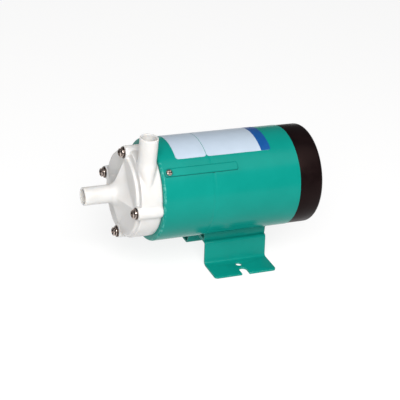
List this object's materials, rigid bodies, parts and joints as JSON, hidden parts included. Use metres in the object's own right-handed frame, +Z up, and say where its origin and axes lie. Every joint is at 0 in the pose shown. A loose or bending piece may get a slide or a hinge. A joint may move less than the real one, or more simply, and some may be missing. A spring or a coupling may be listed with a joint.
{
  "type": "magnetic drive pump",
  "caption": "Sealless magnetic drive pump: plastic pump head with horizontal suction tube and upright discharge tube on a round motor, rear cap and folded sheet base.",
  "frame": {"origin": "on the mounting surface, midway between the two round bolt holes of the base", "axes": "+X along the shaft from the suction tube to the rear cap, +Z up away from the mounting surface, discharge tube on the -Y side"},
  "size_m": [0.2277, 0.097, 0.1465],
  "materials": {
    "white_plastic": "moulded white polypropylene, low gloss",
    "green_paint": "glossy blue-green paint on sheet steel",
    "green_casting": "die cast aluminium, painted blue-green in front",
    "black_plastic": "moulded black plastic, satin",
    "stainless": "bright stainless steel",
    "bearing_steel": "ground bearing steel",
    "lamination": "stacked silicon steel",
    "mild_steel": "machined steel",
    "copper_wire": "enamelled copper wire",
    "cast_aluminium": "die cast aluminium",
    "ferrite": "sintered ferrite",
    "spindle_ceramic": "ground alumina",
    "filled_plastic": "glass filled plastic",
    "bush_carbon": "carbon filled bearing plastic",
    "seal_rubber": "matt black rubber"
  },
  "bodies": {
    "housing": {"front_cover": "white_plastic", "volute_casing": "white_plastic", "cover_seal": "seal_rubber", "rear_casing": "filled_plastic", "casing_seal": "seal_rubber", "spindle": "spindle_ceramic", "front_thrust_ring": "spindle_ceramic", "rear_thrust_ring": "spindle_ceramic", "casing_screws": "stainless", "spring_washers": "stainless", "flat_washers": "stainless", "front_bracket": "green_casting", "motor_shell": "green_paint", "shell_screws": "stainless", "stator_core": "lamination", "stator_winding": "copper_wire", "front_outer_race": "bearing_steel", "front_balls": "bearing_steel", "rear_outer_race": "bearing_steel", "rear_balls": "bearing_steel", "rear_shield": "cast_aluminium", "run_capacitor": "black_plastic", "rear_cap": "black_plastic", "cap_screws": "stainless", "cable_entry": "seal_rubber", "saddle": "green_paint", "base_bracket": "green_paint", "base_bolts": "stainless", "base_nuts": "stainless"},
    "motor_rotor": {"motor_shaft": "bearing_steel", "rotor_core": "lamination", "rotor_cage": "cast_aluminium", "front_inner_race": "bearing_steel", "rear_inner_race": "bearing_steel", "drive_yoke": "mild_steel", "drive_magnets": "ferrite", "yoke_screw": "mild_steel", "cooling_fan": "filled_plastic", "fan_clip": "bearing_steel"},
    "impeller_group": {"impeller": "filled_plastic", "magnet_capsule": "white_plastic", "driven_magnet": "ferrite", "impeller_bush": "bush_carbon"}
  },
  "joints": [
    {"name": "motor_spin", "type": "hinge", "parent": "housing", "child": "motor_rotor", "pos_m": [0, 0, 0.079], "axis": [1, 0, 0], "continuous": true},
    {"name": "impeller_spin", "type": "hinge", "parent": "housing", "child": "impeller_group", "pos_m": [-0.09, 0, 0.079], "axis": [1, 0, 0], "continuous": true}
  ],
  "couplings": [
    {"joint": "impeller_spin", "follows": "motor_spin", "ratio": 1}
  ]
}
